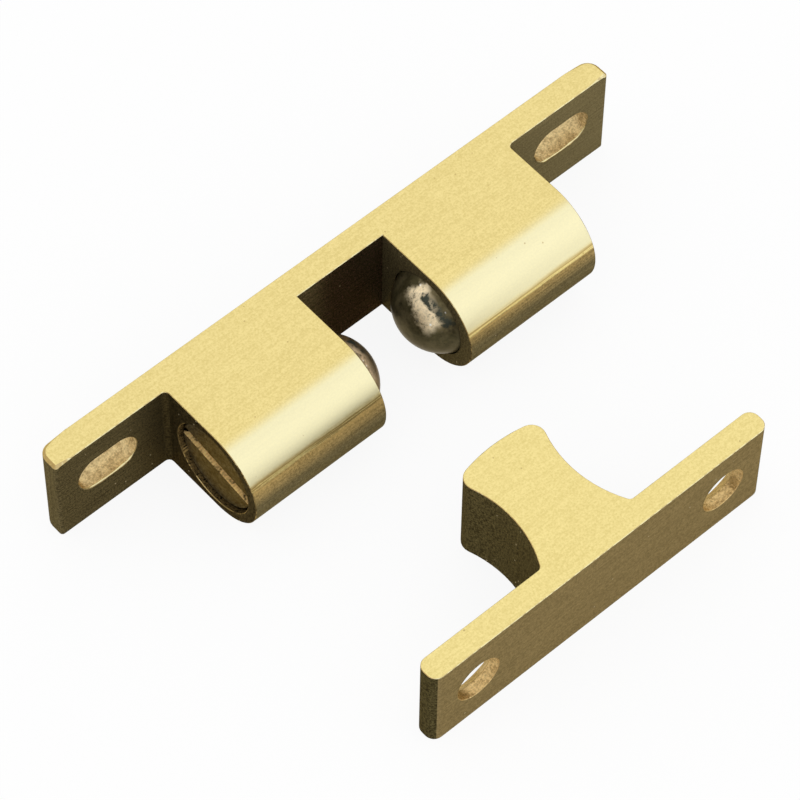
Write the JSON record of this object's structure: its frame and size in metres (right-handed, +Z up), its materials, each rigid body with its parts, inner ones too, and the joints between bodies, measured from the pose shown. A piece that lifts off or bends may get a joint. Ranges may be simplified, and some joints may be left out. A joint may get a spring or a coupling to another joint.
{
  "type": "double ball catch",
  "caption": "Brass double ball catch for a cabinet door: sprung steel balls face each other across a gap in the body and grip the waisted tongue of a separate strike.",
  "frame": {"origin": "middle of the body's back mounting face, halfway up", "axes": "+X along the body, +Y out of its back face into what it is screwed to, +Z up; the strike stands in front at -Y, and both stand on the plane z = -4.2 mm"},
  "size_m": [0.0496, 0.0303, 0.0084],
  "materials": {
    "body_brass": "drawn and milled, satin",
    "strike_brass": "drawn and milled, satin",
    "adjuster_brass": "turned, dulled",
    "ball_steel": "polished, lightly tarnished",
    "spring_steel": "drawn wire"
  },
  "bodies": {
    "catch_body": {"catch_body": "body_brass"},
    "left_ball": {"left_ball": "ball_steel"},
    "right_ball": {"right_ball": "ball_steel"},
    "left_spring": {"left_spring": "spring_steel"},
    "right_spring": {"right_spring": "spring_steel"},
    "left_adjuster": {"left_adjuster": "adjuster_brass"},
    "right_adjuster": {"right_adjuster": "adjuster_brass"},
    "strike": {"strike": "strike_brass"}
  },
  "joints": [
    {"name": "left_ball_press", "type": "slide", "parent": "catch_body", "child": "left_ball", "axis": [-1, 0, 0], "range_m": [0, 0.0019], "stiffness_N_per_m": 2000, "springref_m": -0.0005, "deforming": ["left_spring"]},
    {"name": "right_ball_press", "type": "slide", "parent": "catch_body", "child": "right_ball", "axis": [1, 0, 0], "range_m": [0, 0.0019], "stiffness_N_per_m": 2000, "springref_m": -0.0005, "deforming": ["right_spring"]},
    {"name": "left_screw_advance", "type": "slide", "parent": "catch_body", "child": "left_spring", "axis": [1, 0, 0], "range_m": [-0.00025, 0.00075]},
    {"name": "left_screw_turn", "type": "hinge", "parent": "left_spring", "child": "left_adjuster", "pos_m": [0, -0.0067, 0], "axis": [1, 0, 0], "range_deg": [-121, 361]},
    {"name": "right_screw_advance", "type": "slide", "parent": "catch_body", "child": "right_spring", "axis": [-1, 0, 0], "range_m": [-0.00025, 0.00075]},
    {"name": "right_screw_turn", "type": "hinge", "parent": "right_spring", "child": "right_adjuster", "pos_m": [0, -0.0067, 0], "axis": [-1, 0, 0], "range_deg": [-121, 361]},
    {"name": "strike_approach", "type": "slide", "parent": "catch_body", "child": "strike", "axis": [0.1724, 0.985, 0], "range_m": [0, 0.01015]}
  ],
  "couplings": [
    {"joint": "left_screw_turn", "follows": "left_screw_advance", "rad_per_m": 8377.6},
    {"joint": "right_screw_turn", "follows": "right_screw_advance", "rad_per_m": 8377.6}
  ]
}
